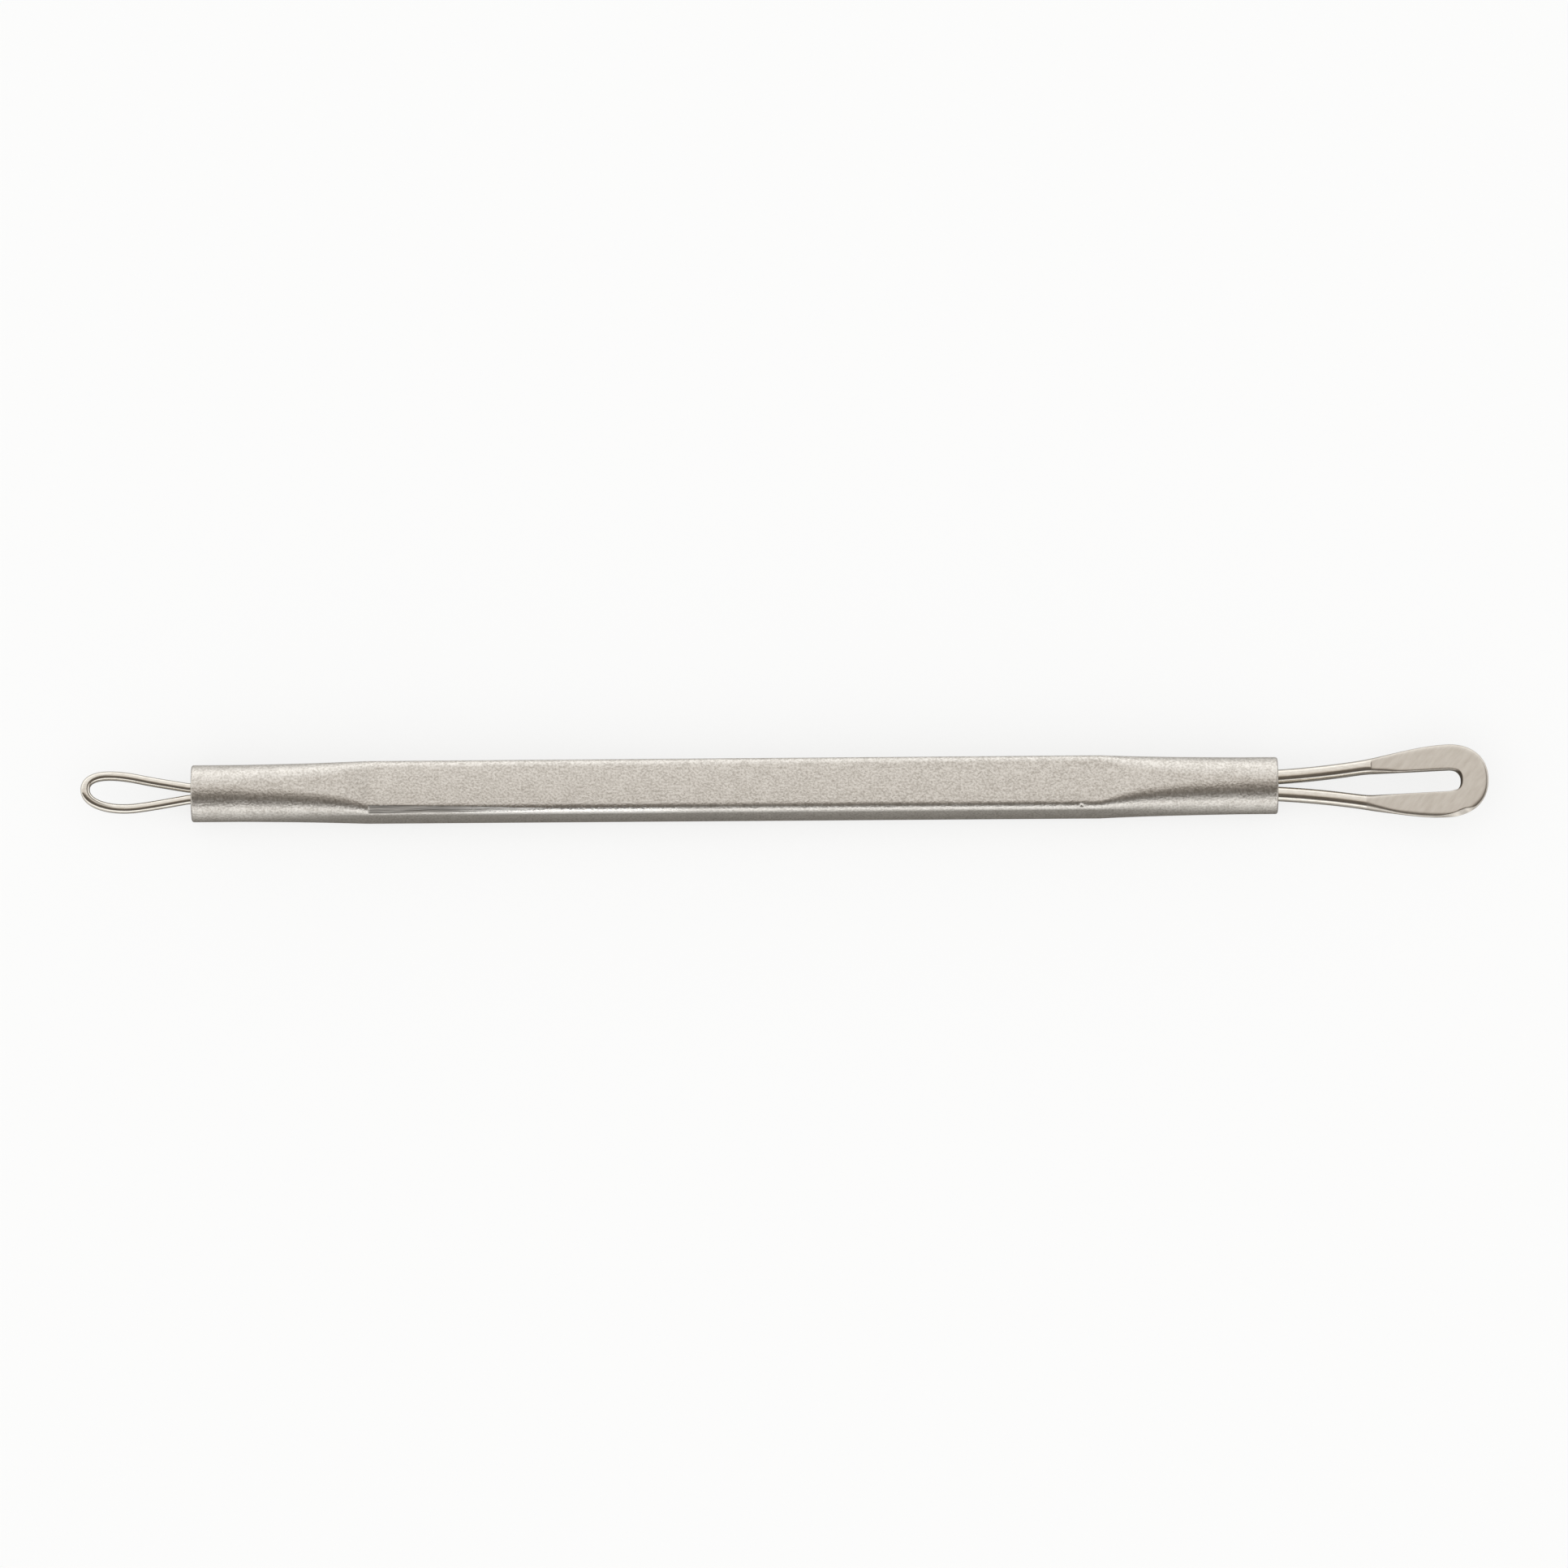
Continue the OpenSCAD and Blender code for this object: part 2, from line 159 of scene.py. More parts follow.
def barSection(x, q):
    # One quarter of the section at each x: an arc of the narrow face, a corner arc that touches it
    # and the flat, then half the flat. q runs from 0 at the narrow face's middle to 1 at the flat's,
    # sharing out points by length plus turning, so that the corners get more.
    x = x[:, None]
    flattened = runOut(x, bar["roundOffFine"], bar["roundOffSlot"])
    sunk = runOut(x, bar["rampFine"], bar["rampSlot"])**bar["runOutPower"]
    pressed, pressedCorner = pressedSize(x)
    rounded = 0.9 * bar["radius"]
    corner = rounded + (pressedCorner - rounded) * flattened**bar["runOutPower"]
    halfThick = bar["radius"] - (bar["radius"] - pressed) * sunk
    halfWidth = bar["radius"] + (bar["pressedHalfWidth"] - bar["radius"]) * flattened
    side = 1 / ((1 - flattened) / bar["radius"] + flattened / bar["sideCrown"])
    turn = np.arcsin(np.clip((halfThick - corner) / (side - corner), 0, 1))
    cornerY = halfWidth - side + np.sqrt(np.maximum((side - corner)**2 - (halfThick - corner)**2, 0))
    sideWeight = (side + bar["turnWeight"]) * turn
    cornerWeight = (corner + bar["turnWeight"]) * (math.pi / 2 - turn)
    reach = q[None, :] * (sideWeight + cornerWeight + cornerY)
    sideAngle = turn * np.clip(reach / sideWeight, 0, 1)
    past = np.clip((reach - sideWeight) / np.maximum(cornerWeight, 1e-9), 0, 1)
    cornerAngle = turn + (math.pi / 2 - turn) * past
    onFlat = np.maximum(reach - sideWeight - cornerWeight, 0)
    onSide = reach <= sideWeight
    y = np.where(onSide, halfWidth - side + side * np.cos(sideAngle),
                 cornerY + corner * np.cos(cornerAngle) - onFlat)
    z = np.where(onSide, side * np.sin(sideAngle), halfThick - corner + corner * np.sin(cornerAngle))
    onCorner = np.where(onSide | (onFlat > 0), 0.0, np.sin(math.pi * past)**0.5) * sunk
    return y, z, onCorner


def facetReach(x):  # how far the corner reaches from the axis along the facet's normal
    pressed, corner = pressedSize(x)
    out = (bar["pressedHalfWidth"] - corner) * math.sin(bar["facetAngle"])
    return out + (pressed - corner) * math.cos(bar["facetAngle"]) + corner


def endRings(boreRadius, boreDepth):
    # From the bore's bottom to the rim, as (distance from the end face, radius)
    rim, edge, outer = bar["boreRim"], bar["edgeRadius"], bar["radius"]
    t = np.linspace(0, math.pi / 2, 9)
    depth = np.concatenate([[boreDepth, boreDepth - 0.01, boreDepth - 0.05, 2 * rim, rim], [0, 0, 0, 0],
                            edge * (1 - np.cos(t))])
    face = np.linspace(boreRadius + rim, outer - edge, 5)[:4]
    radius = np.concatenate([[boreRadius - 0.01], [boreRadius] * 4, face, outer - edge * (1 - np.sin(t))])
    return depth, radius


def makeHandle():
    quarter = bar["around"] // 4
    q = np.linspace(0, 1, quarter + 1)
    inner = 0.004
    stations = spaced(
        (-halfLength + bar["edgeRadius"] + 0.05, markFine - bar["roundOffFine"], 8),
        (markFine - bar["roundOffFine"], markFine - 1, 80),
        (markFine - 1, markFine - inner, 20),
        (markFine - inner, markFine + inner, 1),
        (markFine + inner, markFine + bar["facetLength"] + 1, 90),
        (markFine + bar["facetLength"] + 1, bar["nickAt"] - 0.5, 60),
        (bar["nickAt"] - 0.5, bar["nickAt"] + 0.5, 24),
        (bar["nickAt"] + 0.5, markSlot - 1, 4),
        (markSlot - 1, markSlot + 1, 30),
        (markSlot + 1, markSlot + bar["roundOffSlot"], 90),
        (markSlot + bar["roundOffSlot"], halfLength - bar["edgeRadius"] - 0.05, 8),
    )
    y, z, onCorner = barSection(stations, q)
    # The other three quarters mirror the first, with the shared points kept once
    ringY = np.concatenate([y, -y[:, -2::-1], -y[:, 1:], y[:, -2:0:-1]], axis=1)
    ringZ = np.concatenate([z, z[:, -2::-1], -z[:, 1:], -z[:, -2:0:-1]], axis=1)
    corner = np.concatenate([onCorner, onCorner[:, -2::-1], onCorner[:, 1:], onCorner[:, -2:0:-1]], axis=1)
    ringX = np.broadcast_to(stations[:, None], ringY.shape)

    # The scuffed facet: what stands above its plane on the lower visible corner is laid back on it
    nY, nZ = -math.sin(bar["facetAngle"]), math.cos(bar["facetAngle"])
    start, far = markFine, markFine + bar["facetLength"]
    rise = (facetReach(np.array(far)) - facetReach(np.array(start)) + bar["facetDepth"]) / (far - start)
    plane = facetReach(np.array(start)) - bar["facetDepth"] + rise * (stations[:, None] - start)
    above = np.where(ringX >= start, np.maximum(ringY * nY + ringZ * nZ - plane, 0), 0)
    ringY, ringZ = ringY - above * nY, ringZ - above * nZ
    facet = np.clip(above / 0.01, 0, 1)
    # The nick: pushed in along the facet's normal by a bell curve round one point of the corner
    pressed, r = pressedSize(bar["nickAt"])
    coreY, coreZ = r - bar["pressedHalfWidth"], pressed - r
    off = (ringX - bar["nickAt"])**2 + (ringY - coreY - r * nY)**2 + (ringZ - coreZ - r * nZ)**2
    nick = bar["nickDepth"] * np.exp(-off / bar["nickSize"]**2)
    ringY, ringZ = ringY - nick * nY, ringZ - nick * nZ
    # The flats' slight crown, weaker towards the slotted end: z shrinks with the square of y
    crown = bar["flatCrown"] * (1 - 0.6 * share(stations, markFine, markSlot))
    crown = crown * runOut(stations, bar["rampFine"], bar["rampSlot"])**bar["runOutPower"]
    ringZ = ringZ * (1 - crown[:, None] / bar["pressedHalfFine"] * (ringY / bar["pressedHalfWidth"])**2)

    section = np.stack([ringX, ringY, ringZ], axis=-1)
    # Masks for the finish: +1 on the lower visible corner only, and on every pressed corner. The lower visible
    # corner's mask is a real burnish and a painted highlight: it makes that corner smoother and also lightens
    # its colour
    lowerCorner = corner * (ringY < 0) * (ringZ > 0)
    # where the painted highlight and the burnish on the lower visible corner are strongest
    rubbedAndHighlit = eased(ringX, markFine + 6, markFine + 12) * eased(ringX, -2.5, -8.0)
    burnishAndHighlight = lowerCorner * (0.25 + 0.75 * rubbedAndHighlit)

    angle = np.linspace(0, fullTurn, ringY.shape[1], endpoint=False)
    caps = []
    for side, (radius, depth) in ((-1, (bar["fineBoreRadius"], bar["fineBoreDepth"])),
                                  (1, (bar["slotBoreRadius"], bar["slotBoreDepth"]))):
        d, r = endRings(radius, depth)
        cap = np.stack([np.broadcast_to((side * (halfLength - d))[:, None], (len(d), len(angle))),
                        r[:, None] * np.cos(angle), r[:, None] * np.sin(angle)], axis=-1)
        caps.append(cap if side < 0 else cap[::-1])
    rings = np.concatenate([caps[0], section, caps[1]])

    def padded(values):  # a mask is nothing on the end rings
        return np.concatenate([np.zeros(caps[0].shape[:2]), values, np.zeros(caps[1].shape[:2])])

    piece = closedGrid("handleBar", layDown(rings), {
        "corner": padded(corner), "facet": padded(facet), "burnishAndHighlight": padded(burnishAndHighlight),
    })
    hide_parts("handle")
    return piece


# The fine loop: a teardrop of round wire with its tip bent up

fineLoop = {
    "wireRadius": 0.4,
    "reach": handleLow[0] - fineLow[0],
    "legGap": 0.22,
    "slope": math.tan(math.radians(10.1)),
    "straight": 4.5,
    "rootBend": 0.5,
    "sidePull": 2.5,
    "tipPull": 1.3,
    "bendAt": 5.0,
    "bendLength": 5.0,
    "lift": math.tan(math.radians(20)),
    "seat": 8.0,
    "around": 48,
}


def makeFineLoop():
    # Centre line of one side: a straight leg that leans out, then a cubic to the tip; the other side
    # mirrors it. A circle is carried along it, square to it.
    radius = fineLoop["wireRadius"]
    footY = fineLoop["legGap"] / 2 + radius
    tipX = fineLoop["reach"] - radius
    u = spaced((-fineLoop["seat"], -0.2, 4), (-0.2, 1, 14), (1, fineLoop["straight"], 24))
    leg = np.stack([u, footY + bent(u, fineLoop["rootBend"] / 2, fineLoop["rootBend"], fineLoop["slope"])], -1)
    t = np.linspace(0, 1, 110)[1:, None]
    p0 = leg[-1]
    p1 = p0 + fineLoop["sidePull"] * np.array([1, fineLoop["slope"]])
    p2, p3 = np.array([tipX, fineLoop["tipPull"]]), np.array([tipX, 0])
    bow = (1 - t)**3 * p0 + 3 * t * (1 - t)**2 * p1 + 3 * t * t * (1 - t) * p2 + t**3 * p3
    half = np.concatenate([leg, bow])
    flat = np.concatenate([half, half[-2::-1] * [1, -1]])
    lift = bent(flat[:, 0], fineLoop["bendAt"], fineLoop["bendLength"], fineLoop["lift"])
    path = np.column_stack([flat, lift])
    along = unit(np.gradient(path, axis=0))
    out = unit(np.cross([0, 0, 1], along))
    up = np.cross(along, out)
    angle = np.linspace(0, fullTurn, fineLoop["around"], endpoint=False)[None, :, None]
    rings = path[:, None] + radius * (np.cos(angle) * out[:, None] + np.sin(angle) * up[:, None])
    rings = rings * [-1, 1, 1] - [halfLength, 0, 0]
    piece = closedGrid("fineLoopWire", layDown(rings[:, ::-1]))
    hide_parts("fine_loop")
    return piece


# The slotted loop: a hairpin of thicker wire, coined flat over its far part and bent up

slottedLoop = {
    "wire": 1.25,
    "reach": slottedHigh[0] - handleHigh[0],
    "legGap": 0.26,
    "legSlope": 0.06,
    "legBow": 0.0065,
    "legEnd": 6.4,              # where the edges start to part into the paddle
    "slotStart": 8.2,           # where the slot's sides run straight
    "paddleWidth": 6.48,
    "paddleRound": 3.5,
    "paddleThick": 0.55,
    "slotWidth": 1.9,
    "tipLand": 2.39,
    "slotRound": 1.1,
    "outerPower": 2.2,
    "slotPower": 2.4,
    "dieEdgeUpper": 8.1,
    "dieStep": 0.1,
    "dieRun": 0.16,             # length of the slope at each die edge
    "edgeSquare": 0.45,         # how much squarer than a half circle the slot's edge is
    "edgeRound": 0.42,          # reach of the paddle's softer outer edge
    "endRound": 0.08,           # reach of the slot's end wall's rounded edges
    "endLean": 0.23,            # how far that wall leans back at the top
    # A bevel ground along the lower edge near the tip: where it starts, is widest, begins to close and
    # ends, measured back from the tip, then its width and how deep it cuts as a share of the thickness
    "bevelPlaces": (5.4, 2.3, 1.8, 1.08),
    "bevelWidth": 0.42,
    "bevelDepth": 0.8,
    "dieEdgeLower": 7.6,
    "coinEnd": 10.8,
    "bendAt": 8.0,
    "bendLength": 1.2,
    "lift": math.tan(math.radians(8.6)),
    "seat": 10.0,
    "wireFlat": 0.02,
    "arc": 20,                  # points round each rounded edge
    "across": 16,               # points across each face
}


def slottedEdges():
    # Inner and outer edge of one side: legs that bow out by a parabola, then cubics into the slot's
    # straight side and the paddle's widest place, then a quarter of a superellipse each round the end
    p = slottedLoop
    wideX = p["reach"] - p["paddleRound"]
    slotX = p["reach"] - p["tipLand"] - p["slotRound"]
    footY = (p["legGap"] + p["wire"]) / 2
    endY = footY + p["legSlope"] * p["legEnd"] + p["legBow"] * p["legEnd"]**2
    endSlope = p["legSlope"] + 2 * p["legBow"] * p["legEnd"]

    def legY(u):
        u = np.maximum(u, 0)
        return footY + p["legSlope"] * u + p["legBow"] * u * u

    def edge(u, sign, end, y1):
        bow = settle(u, p["legEnd"], end, endY + sign * p["wire"] / 2, endSlope, y1)
        return np.where(u < p["legEnd"], legY(u) + sign * p["wire"] / 2, bow)

    soft = 0.012                # rings this close to a die edge's slope keep its two bends crisp
    before, edgeX = p["dieEdgeUpper"] - p["dieRun"], p["dieEdgeUpper"]
    legs = spaced((-p["seat"], -0.2, 3), (-0.2, 0.8, 10), (0.8, p["legEnd"], 30),
                  (p["legEnd"], before - soft, 36), (before - soft, before + soft, 2),
                  (before + soft, edgeX - soft, 4), (edgeX - soft, edgeX + soft, 2),
                  (edgeX + soft, p["coinEnd"], 60))
    s = np.linspace(0, 1, 30)[1:]
    nearX = np.append(legs, p["coinEnd"] + (slotX - p["coinEnd"]) * s)
    farX = np.append(legs, p["coinEnd"] + (wideX - p["coinEnd"]) * s)
    inner = np.stack([nearX, edge(nearX, -1, p["slotStart"], p["slotWidth"] / 2)], -1)
    outer = np.stack([farX, edge(farX, 1, wideX, p["paddleWidth"] / 2)], -1)
    t = np.linspace(0, math.pi / 2, 60)[1:]

    def corner(x, length, y, power):
        c = np.maximum(np.cos(t), 0)
        return np.stack([x + length * np.sin(t)**(2 / power), y * c**(2 / power)], -1)

    inner = np.concatenate([inner, corner(slotX, p["slotRound"], p["slotWidth"] / 2, p["slotPower"])])
    outer = np.concatenate([outer, corner(wideX, p["paddleRound"], p["paddleWidth"] / 2, p["outerPower"])])
    return inner, outer


def makeSlottedLoop():
    # Each ring spans from inner to outer edge: level over its middle, half circles at both edges.
    # It thins from the wire to the paddle, and what stands above the die's face is pressed onto it.
    p = slottedLoop
    inner, outer = slottedEdges()
    inner = np.concatenate([inner, inner[-2::-1] * [1, -1]])
    outer = np.concatenate([outer, outer[-2::-1] * [1, -1]])

    def raised(flat):
        return np.column_stack([flat, bent(flat[:, 0], p["bendAt"], p["bendLength"], p["lift"])])

    inner, outer = raised(inner), raised(outer)
    mid, span = (inner + outer) / 2, outer - inner
    out = unit(span)
    slope = p["lift"] * share(mid[:, 0], p["bendAt"] - p["bendLength"] / 2, p["bendAt"] + p["bendLength"] / 2)
    up = unit(np.column_stack([-slope, np.zeros_like(slope), np.ones_like(slope)]))
    wireThick = p["wire"] - p["wireFlat"]
    thick = wireThick - (wireThick - p["paddleThick"]) * eased(mid[:, 0], p["dieEdgeLower"] - 0.2, p["coinEnd"])
    radius = thick[:, None] / 2
    straight = np.linalg.norm(span, axis=1)[:, None] / 2 - radius
    arc = np.linspace(-math.pi / 2, math.pi / 2, p["arc"])[None, :]
    level = np.linspace(1, -1, p["across"])[1:-1][None, :]
    coin = eased(mid[:, :1], p["dieEdgeLower"], p["coinEnd"] + 1)
    wall = eased(inner[:, :1], p["reach"] - p["tipLand"] - 0.6, p["reach"] - p["tipLand"] - 0.1)
    power = 1 - p["edgeSquare"] * coin - 0.35 * wall
    inReach = radius + (p["endRound"] - radius) * wall
    inBulge = inReach * np.abs(np.cos(arc))**power
    inClimb = radius * np.sign(np.sin(arc)) * np.abs(np.sin(arc))**power
    outReach = radius + (p["edgeRound"] - radius) * coin
    outStart, inStart = straight + radius - outReach, straight + radius - inReach
    topIn = inStart - p["endLean"] * wall
    leant = p["endLean"] * wall * (0.5 - inClimb / radius / 2)
    n = np.concatenate([
        outStart + outReach * np.cos(arc), (outStart - topIn) / 2 + (outStart + topIn) / 2 * level,
        -inStart - inBulge + leant, (outStart - inStart) / 2 - (outStart + inStart) / 2 * level,
    ], axis=1)
    h = np.concatenate([radius * np.sin(arc), radius + 0 * level, -inClimb, -radius + 0 * level], axis=1)
    # The bevel: what stands above its plane is laid back on it
    start, widest, closing, end = (p["reach"] - place for place in p["bevelPlaces"])
    width = p["bevelWidth"] * np.minimum(share(outer[:, :1], start, widest)**1.5,
                                         share(outer[:, :1], end, closing)**0.7)
    width = np.where(outer[:, 1:2] < 0, width, 0) + 1e-6
    depth = 2 * radius * p["bevelDepth"]
    above = (n - straight - radius + width) * depth + (h - radius) * width
    above = np.maximum(above, 0) / (depth**2 + width**2)
    n, h = n - above * depth, h - above * width
    x, upper = mid[:, :1], mid[:, 1:2] >= 0
    crest = p["wire"] / 2
    edgeX = np.where(upper, p["dieEdgeUpper"], p["dieEdgeLower"])
    edgeZ = np.where(upper, crest - p["dieStep"], crest)
    face = edgeZ + (p["paddleThick"] / 2 - edgeZ) * share(x, edgeX, p["coinEnd"])
    sloped = crest + (edgeZ - crest) * share(x, edgeX - p["dieRun"], edgeX)
    face = np.where(x >= edgeX, face, np.where(x > edgeX - p["dieRun"], sloped, 10.0))
    coined = share(x, edgeX - p["dieRun"], edgeX)
    h = np.clip(h, -face, face)
    rings = mid[:, None] + n[..., None] * out[:, None] + h[..., None] * up[:, None] + [halfLength, 0, 0]
    faces = 0 * level * wall
    # Mask for a painted shade on the slot's end wall, where the wall stands in shade
    paintedWallShade = np.concatenate([0 * arc * wall, faces, wall * (np.abs(arc) < 1.5), faces], axis=1)
    piece = closedGrid("slottedLoopPaddle", layDown(rings), {"coined": coined + 0 * h, "wall": paintedWallShade})
    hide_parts("slotted_loop")
    return piece


# Materials

def newMaterial(name):
    material = bpy.data.materials.new(name)
    material.use_nodes = True
    tree = material.node_tree
    shader = tree.nodes["Principled BSDF"]
    return material, tree, shader


def addNode(tree, kind, **settings):
    node = tree.nodes.new(kind)
    for key, value in settings.items():
        if key in node.inputs:
            node.inputs[key].default_value = value
        else:
            setattr(node, key, value)
    return node


def mathNode(tree, operation, a, b, clamp=False):
    node = tree.nodes.new("ShaderNodeMath")
    node.operation = operation
    node.use_clamp = clamp
    for socket, value in zip(node.inputs, (a, b)):
        if isinstance(value, bpy.types.NodeSocket):
            tree.links.new(value, socket)
        else:
            socket.default_value = value
    return node.outputs[0]


def mixColour(tree, amount, a, b):
    node = tree.nodes.new("ShaderNodeMix")
    node.data_type = "RGBA"
    for socket, value in ((node.inputs[0], amount), (node.inputs[6], a), (node.inputs[7], b)):
        if isinstance(value, bpy.types.NodeSocket):
            tree.links.new(value, socket)
        else:
            socket.default_value = value if isinstance(value, float) else (*value, 1.0)
    return node.outputs[2]


def attributeOf(tree, name):
    return addNode(tree, "ShaderNodeAttribute", attribute_name=name).outputs["Fac"]


def makeGrainGroup():
    # Blasted grain: two sizes of noise on object coordinates give a height and a tone around 0.5
    group = bpy.data.node_groups.new("blastedGrain", "ShaderNodeTree")
    group.interface.new_socket("Size", in_out="INPUT", socket_type="NodeSocketFloat")
    group.interface.new_socket("Stretch", in_out="INPUT", socket_type="NodeSocketVector")
    group.interface.new_socket("Turn", in_out="INPUT", socket_type="NodeSocketFloat")
    group.interface.new_socket("Height", in_out="OUTPUT", socket_type="NodeSocketFloat")
    group.interface.new_socket("Tone", in_out="OUTPUT", socket_type="NodeSocketFloat")
    start = group.nodes.new("NodeGroupInput")
    end = group.nodes.new("NodeGroupOutput")
    where = group.nodes.new("ShaderNodeTexCoord")
    scale = group.nodes.new("ShaderNodeVectorMath")
    scale.operation = "MULTIPLY"
    turned = addNode(group, "ShaderNodeVectorRotate", rotation_type="Z_AXIS")
    group.links.new(where.outputs["Object"], turned.inputs["Vector"])
    group.links.new(start.outputs["Turn"], turned.inputs["Angle"])
    group.links.new(turned.outputs[0], scale.inputs[0])
    group.links.new(start.outputs["Stretch"], scale.inputs[1])
    fine = addNode(group, "ShaderNodeTexNoise", Detail=3.0, Roughness=0.6)
    group.links.new(scale.outputs[0], fine.inputs["Vector"])
    group.links.new(start.outputs["Size"], fine.inputs["Scale"])
    wide = addNode(group, "ShaderNodeTexNoise", Detail=2.0, Roughness=0.5)
    group.links.new(scale.outputs[0], wide.inputs["Vector"])
    group.links.new(mathNode(group, "MULTIPLY", start.outputs["Size"], 0.18), wide.inputs["Scale"])
    group.links.new(fine.outputs["Fac"], end.inputs["Height"])
    tone = mathNode(group, "ADD", mathNode(group, "MULTIPLY", fine.outputs["Fac"], 0.82),
                    mathNode(group, "MULTIPLY", wide.outputs["Fac"], 0.18))
    group.links.new(tone, end.inputs["Tone"])
    return group


def addGrain(tree, group, size, stretch=(1, 1, 1), turn=0.0):
    node = tree.nodes.new("ShaderNodeGroup")
    node.node_tree = group
    node.inputs["Size"].default_value = size
    node.inputs["Stretch"].default_value = stretch
    node.inputs["Turn"].default_value = turn
    return node


def addBump(tree, shader, height, strength, distance):
    bump = addNode(tree, "ShaderNodeBump", Strength=strength, Distance=distance)
    tree.links.new(height, bump.inputs["Height"])
    tree.links.new(bump.outputs["Normal"], shader.inputs["Normal"])
    return bump


satin = {
    "colour": (0.86, 0.825, 0.77),
    "darker": (0.56, 0.525, 0.475),
    "scored": (0.22, 0.205, 0.185),  # the deepest scratches of the scuffed facet
    # painted highlight on a real burnish: the lower visible corner's lighter colour
    "burnishAndHighlight": (0.97, 0.95, 0.91),
    "roughness": 0.36,
    "grainSize": 5000.0,
}
wire = {
    "colour": (0.84, 0.80, 0.73),
    "darker": (0.70, 0.65, 0.57),
    "roughness": 0.12,
    "grainSize": 5000.0,
}
ground = {
    "colour": (0.70, 0.655, 0.59),
    "darker": (0.61, 0.56, 0.495),
    "roughness": 0.33,
    "grainSize": 4200.0,
    "wallShade": (0.24, 0.20, 0.16),  # painted shade on the slot's end wall
    "scuffTurn": math.radians(-48),
    "scuffStretch": (0.15, 0.6, 1),
}
solder = {
    "colour": (0.62, 0.60, 0.56),
    "darker": (0.38, 0.36, 0.33),
    "roughness": 0.5,
    "grainSize": 6000.0,
}


def toned(tree, tone, low, high, darker, colour):  # the grain's tone spread between two colours
    spread = addNode(tree, "ShaderNodeMapRange")
    spread.inputs["From Min"].default_value = low
    spread.inputs["From Max"].default_value = high
    tree.links.new(tone, spread.inputs["Value"])
    return mixColour(tree, spread.outputs["Result"], darker, colour)


def makeSatinSteel(group):
    material, tree, shader = newMaterial("satinSteel")
    grain = addGrain(tree, group, satin["grainSize"])
    scratches = addGrain(tree, group, satin["grainSize"], (0.03, 1, 1))
    facet, burnishAndHighlight = attributeOf(tree, "facet"), attributeOf(tree, "burnishAndHighlight")
    base = toned(tree, grain.outputs["Tone"], 0.36, 0.6, satin["darker"], satin["colour"])
    scored = toned(tree, scratches.outputs["Tone"], 0.38, 0.62, satin["scored"], satin["darker"])
    colour = mixColour(tree, facet, base, scored)
    # Painted highlight on a real burnish: the lower visible corner is lightened towards near white here, and
    # made smoother below
    colour = mixColour(tree, burnishAndHighlight, colour, satin["burnishAndHighlight"])
    tree.links.new(colour, shader.inputs["Base Color"])
    shader.inputs["Metallic"].default_value = 1.0
    rough = mathNode(tree, "SUBTRACT", satin["roughness"], mathNode(tree, "MULTIPLY", burnishAndHighlight, 0.16))
    tree.links.new(rough, shader.inputs["Roughness"])
    height = mathNode(tree, "ADD", mathNode(tree, "MULTIPLY", grain.outputs["Height"],
                                            mathNode(tree, "SUBTRACT", 1.0, facet)),
                      mathNode(tree, "MULTIPLY", scratches.outputs["Height"], facet))
    addBump(tree, shader, height, 1.0, 0.00004)
    return material


def makeWire(group):
    material, tree, shader = newMaterial("polishedWire")
    grain = addGrain(tree, group, wire["grainSize"], (0.3, 1, 1))
    tree.links.new(toned(tree, grain.outputs["Tone"], 0.3, 0.6, wire["darker"], wire["colour"]),
                   shader.inputs["Base Color"])
    shader.inputs["Metallic"].default_value = 1.0
    shader.inputs["Roughness"].default_value = wire["roughness"]
    addBump(tree, shader, grain.outputs["Height"], 0.15, 0.00002)
    return material


def makeCoined(group):
    material, tree, shader = newMaterial("coinedSteel")
    coined = attributeOf(tree, "coined")
    grain = addGrain(tree, group, ground["grainSize"], ground["scuffStretch"], ground["scuffTurn"])
    drawn = addGrain(tree, group, wire["grainSize"], (0.3, 1, 1))
    face = toned(tree, grain.outputs["Tone"], 0.3, 0.6, ground["darker"], ground["colour"])
    leg = toned(tree, drawn.outputs["Tone"], 0.3, 0.6, wire["darker"], wire["colour"])
    # Painted shade: the slot's end wall is darkened to a dark brown
    face = mixColour(tree, attributeOf(tree, "wall"), face, ground["wallShade"])
    tree.links.new(mixColour(tree, coined, leg, face), shader.inputs["Base Color"])
    shader.inputs["Metallic"].default_value = 1.0
    more = mathNode(tree, "MULTIPLY", coined, ground["roughness"] - wire["roughness"])
    tree.links.new(mathNode(tree, "ADD", more, wire["roughness"]), shader.inputs["Roughness"])
    addBump(tree, shader, grain.outputs["Height"], 0.2, 0.00002)
    return material


def makeSolder(group):
    material, tree, shader = newMaterial("dullSolder")
    grain = addGrain(tree, group, solder["grainSize"])
    tree.links.new(toned(tree, grain.outputs["Tone"], 0.3, 0.65, solder["darker"], solder["colour"]),
                   shader.inputs["Base Color"])
    shader.inputs["Metallic"].default_value = 1.0
    shader.inputs["Roughness"].default_value = solder["roughness"]
    addBump(tree, shader, grain.outputs["Height"], 0.4, 0.00004)
    return material


# Stage: floor, light and camera

view = {
    "distance": 1.0,            # from the lens to the bar's axis
    "frameWidth": 0.1336,       # what the picture spans at that distance
    "sensor": 36.0,
    "lean": math.radians(17.0), # from straight overhead towards -Y
    "roll": math.radians(0.437),
    "aimX": -0.000036,
    "aimUp": 0.000454,          # how far above the bar's axis the middle of the picture is
}

